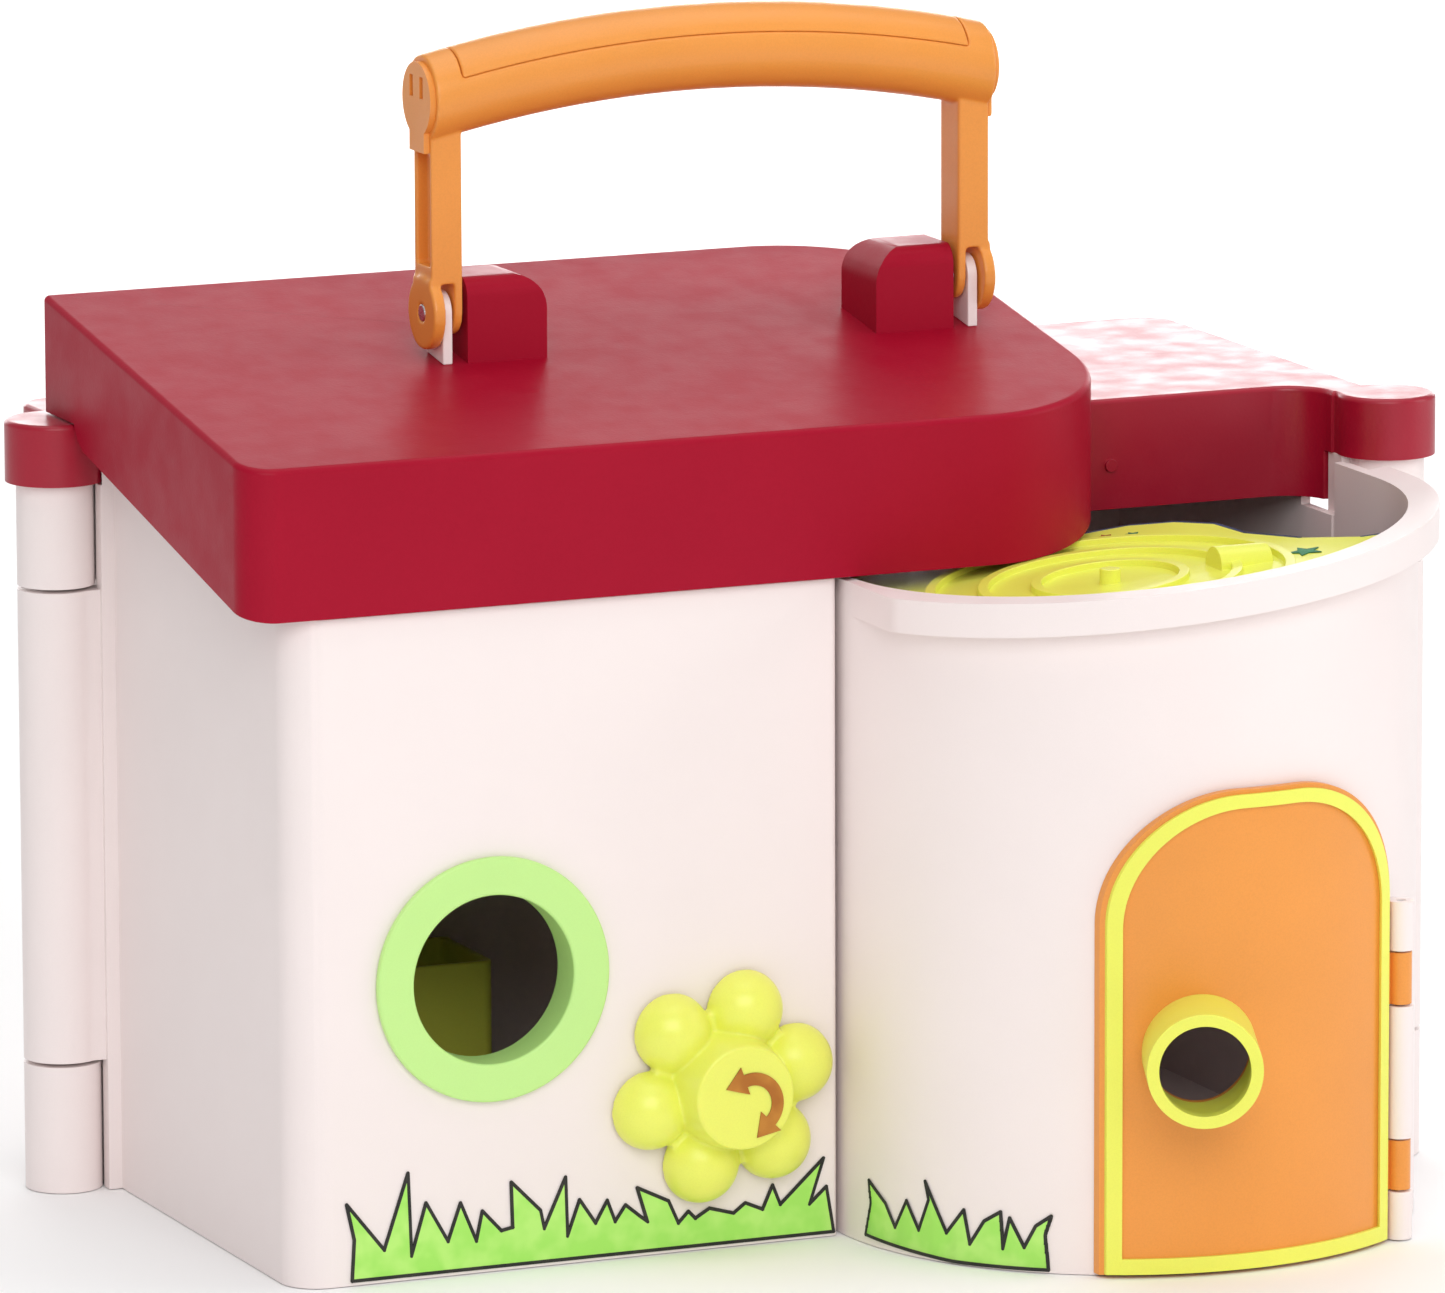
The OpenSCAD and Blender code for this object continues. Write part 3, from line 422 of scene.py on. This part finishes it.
def outline(node, faces):
    """Corner points, in order, round the part of a node's surface made of `faces(polygon)`."""
    bm = bmesh.new()
    bm.from_mesh(nodes[node].data)
    bmesh.ops.remove_doubles(bm, verts=bm.verts, dist=0.002 * MM)
    bm.normal_update()
    chosen = {f for f in bm.faces if faces(f)}
    rim = [e for e in bm.edges if sum(f in chosen for f in e.link_faces) == 1]
    places = {v.index: v.co.copy() for e in rim for v in e.verts}
    path = ring_of([(e.verts[0].index, e.verts[1].index) for e in rim])
    bm.free()
    return [places[i] for i in path]


def stroke(bm, a, b, half, place, low, high, step=1.5 * MM):
    """One round-ended pen stroke between two flat points, laid on a surface by place(u, v, height)."""
    along = Vector((b[0] - a[0], b[1] - a[1]))
    length = along.length
    if length < 1e-6:
        return
    along /= length
    across = Vector((-along.y, along.x))
    count = max(1, math.ceil(length / step))
    body = [length * i / count for i in range(count + 1)]
    stations = [(-half * math.cos(t), half * math.sin(t)) for t in (0.3, 0.7, 1.1)]
    stations += [(d, half) for d in body]
    stations += [(length + half * math.cos(t), half * math.sin(t)) for t in (1.1, 0.7, 0.3)]
    rows = []
    for d, w in stations:
        mid = Vector(a) + along * d
        row = []
        for side, height in ((-w, low), (-w * 0.8, high), (w * 0.8, high), (w, low)):
            spot = mid + across * side
            row.append(bm.verts.new(place(spot.x, spot.y, height)))
        rows.append(row)
    for one, two in zip(rows, rows[1:]):
        for k in range(3):
            bm.faces.new((one[k], one[k + 1], two[k + 1], two[k]))
    bm.faces.new(rows[0])
    bm.faces.new(reversed(rows[-1]))


# printed lines start below the surface and stand just proud of it; alternate strokes differ
# slightly in height so that no two top faces coincide
LINE_FOOT = -0.1 * MM
LINE_TOP = 0.06 * MM
LINE_LIFT = 0.004 * MM
GRASS_LINE_HALF = 0.45 * MM
TRAY_LINE_HALF = 0.55 * MM


def strokes(name, ends, place, half, body, look):
    """One piece made of a pen stroke along each pair of flat points."""
    bm = bmesh.new()
    for i, (a, b) in enumerate(ends):
        stroke(bm, a, b, half, place, LINE_FOOT, LINE_TOP + LINE_LIFT * (i % 2))
    bmesh.ops.recalc_face_normals(bm, faces=bm.faces)
    mesh = bpy.data.meshes.new(name)
    bm.to_mesh(mesh)
    bm.free()
    return new_piece(name, mesh, body, look, smooth=False)


def closed_line(flat):
    return list(zip(flat, flat[1:] + flat[:1]))


def flat_front(y):
    return lambda u, v, height: Vector((u, y - height, v))


def round_wall(cx, cy, radius):
    def place(u, v, height):
        angle = u / radius
        r = radius + height
        return Vector((cx + r * math.cos(angle), cy + r * math.sin(angle), v))

    return place


# black outlines of the printed grass
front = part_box("room_grass")[0].y
tufts = outline("room_grass", lambda f: f.normal.y < -0.9)
strokes(
    "room_grass_outline", closed_line([(p.x, p.z) for p in tufts]), flat_front(front),
    GRASS_LINE_HALF, "room_wing", LINE,
)
sticker_points = [v.co for v in nodes["tower_grass"].data.vertices]
tower_x, tower_y, _ = circle_through(sticker_points)


def tower_radius(p):
    return math.hypot(p.x - tower_x, p.y - tower_y)


sticker_r = max(tower_radius(p) for p in sticker_points)


def faces_out(f):
    """Whether a face of the tower's sticker is on its outer side."""
    middle = f.calc_center_median()
    outward = Vector((middle.x - tower_x, middle.y - tower_y, 0))
    on_outside = tower_radius(middle) > sticker_r - 0.12 * MM
    return on_outside and abs(f.normal.z) < 0.3 and f.normal.dot(outward) > 0


tufts = outline("tower_grass", faces_out)
unrolled = [(math.atan2(p.y - tower_y, p.x - tower_x) * sticker_r, p.z) for p in tufts]
strokes(
    "tower_grass_outline", closed_line(unrolled), round_wall(tower_x, tower_y, sticker_r),
    GRASS_LINE_HALF, "tower_wing", LINE,
)

# dark blue line printed round the top of the tray
tray_mesh = nodes["tray"].data
tray_top = max((q for q in tray_mesh.polygons if q.normal.z > 0.9), key=lambda q: q.area)
tray_n, tray_d = tray_top.normal.copy(), tray_top.normal.dot(tray_top.center)


def on_tray(u, v, height):
    return Vector((u, v, (tray_d - tray_n.x * u - tray_n.y * v) / tray_n.z + height))


def drops_away(f, z):
    """Whether a face is upright and reaches well below the height z."""
    return abs(f.normal.z) < 0.3 and min(v.co.z for v in f.verts) < z - 1 * MM


def tray_edge():
    """The edges, from above, where the tray's flat top meets an upright side."""
    bm = bmesh.new()
    bm.from_mesh(tray_mesh)
    bmesh.ops.remove_doubles(bm, verts=bm.verts, dist=0.002 * MM)
    bm.normal_update()
    ends = []
    for e in bm.edges:
        a, b = e.verts
        level = all(abs(tray_n.dot(v.co) - tray_d) <= 0.03 * MM for v in (a, b))
        if len(e.link_faces) != 2 or not level:
            continue
        up = any(f.normal.dot(tray_n) > 0.99 for f in e.link_faces)
        if up and any(drops_away(f, a.co.z) for f in e.link_faces):
            ends.append(((a.co.x, a.co.y), (b.co.x, b.co.y)))
    bm.free()
    return ends


strokes(
    "tray_outline", tray_edge(), on_tray,
    TRAY_LINE_HALF, "tower_wing", BLUE_LINE,
)


# ---------------------------------------------------------------- floor, light and camera


def floor():
    mesh = bpy.data.meshes.new("floor")
    bm = bmesh.new()
    bmesh.ops.create_grid(bm, x_segments=2, y_segments=2, size=15)
    bm.to_mesh(mesh)
    bm.free()
    obj = bpy.data.objects.new("floor", mesh)
    obj.location.z = -0.2 * MM
    bpy.context.scene.collection.objects.link(obj)
    mat = bpy.data.materials.new("floor_paper")
    mat.use_nodes = True
    shader = mat.node_tree.nodes["Principled BSDF"]
    shader.inputs["Base Color"].default_value = (0.98, 0.98, 0.98, 1)
    shader.inputs["Roughness"].default_value = 0.9
    shader.inputs["Specular IOR Level"].default_value = 0.1
    mesh.materials.append(mat)


def softbox(name, where, size_x, size_y, watts, target=(0, 0, 0.12)):
    data = bpy.data.lights.new(name, "AREA")
    data.shape = "RECTANGLE"
    data.size = size_x
    data.size_y = size_y
    data.energy = watts
    obj = bpy.data.objects.new(name, data)
    obj.location = where
    obj.rotation_mode = "QUATERNION"
    obj.rotation_quaternion = (Vector(target) - Vector(where)).to_track_quat("-Z", "Y")
    obj.visible_camera = False
    bpy.context.scene.collection.objects.link(obj)


def lights():
    world = bpy.data.worlds.new("studio")
    bpy.context.scene.world = world
    world.use_nodes = True
    sky = world.node_tree.nodes["Background"]
    sky.inputs["Color"].default_value = (1, 1, 1, 1)
    sky.inputs["Strength"].default_value = 0.42
    softbox("key", (-0.5, -1.6, 1.1), 1.4, 1.0, 15.5)
    softbox("top", (0.1, 0.1, 1.7), 1.6, 1.6, 11)
    softbox("right", (1.6, -0.7, 0.7), 0.9, 1.2, 7)
    softbox("back", (0.75, 2.1, 0.55), 2.6, 0.8, 30)


# yaw, pitch and roll of the view, its focal length, and where its centre line passes
YAW = math.radians(23.2562)
PITCH = math.radians(10.8006)
ROLL = math.radians(-0.1961)
LENS = 302.52
VIEW_RIGHT = 95.9987 * MM
VIEW_UP = 145.0763 * MM
VIEW_BACK = 2728.73 * MM
VIEW_ORIGIN = Vector((-136.6, -27.17206, 0)) * MM


def camera():
    right = Vector((math.cos(YAW), -math.sin(YAW), 0))
    back = Vector((-math.sin(YAW) * math.cos(PITCH), -math.cos(YAW) * math.cos(PITCH), math.sin(PITCH)))
    up = back.cross(right)
    rolled_right = right * math.cos(ROLL) + up * math.sin(ROLL)
    rolled_up = up * math.cos(ROLL) - right * math.sin(ROLL)
    place = VIEW_ORIGIN + rolled_right * VIEW_RIGHT + rolled_up * VIEW_UP + back * VIEW_BACK
    data = bpy.data.cameras.new("view")
    data.lens = LENS
    data.sensor_width = 36
    data.clip_start = 0.1
    data.clip_end = 60
    obj = bpy.data.objects.new("view", data)
    axes = Matrix((rolled_right, rolled_up, back)).transposed()
    obj.matrix_world = Matrix.Translation(place) @ axes.to_4x4()
    bpy.context.scene.collection.objects.link(obj)
    bpy.context.scene.camera = obj


floor()
lights()
camera()
bpy.context.scene.view_settings.view_transform = "Standard"
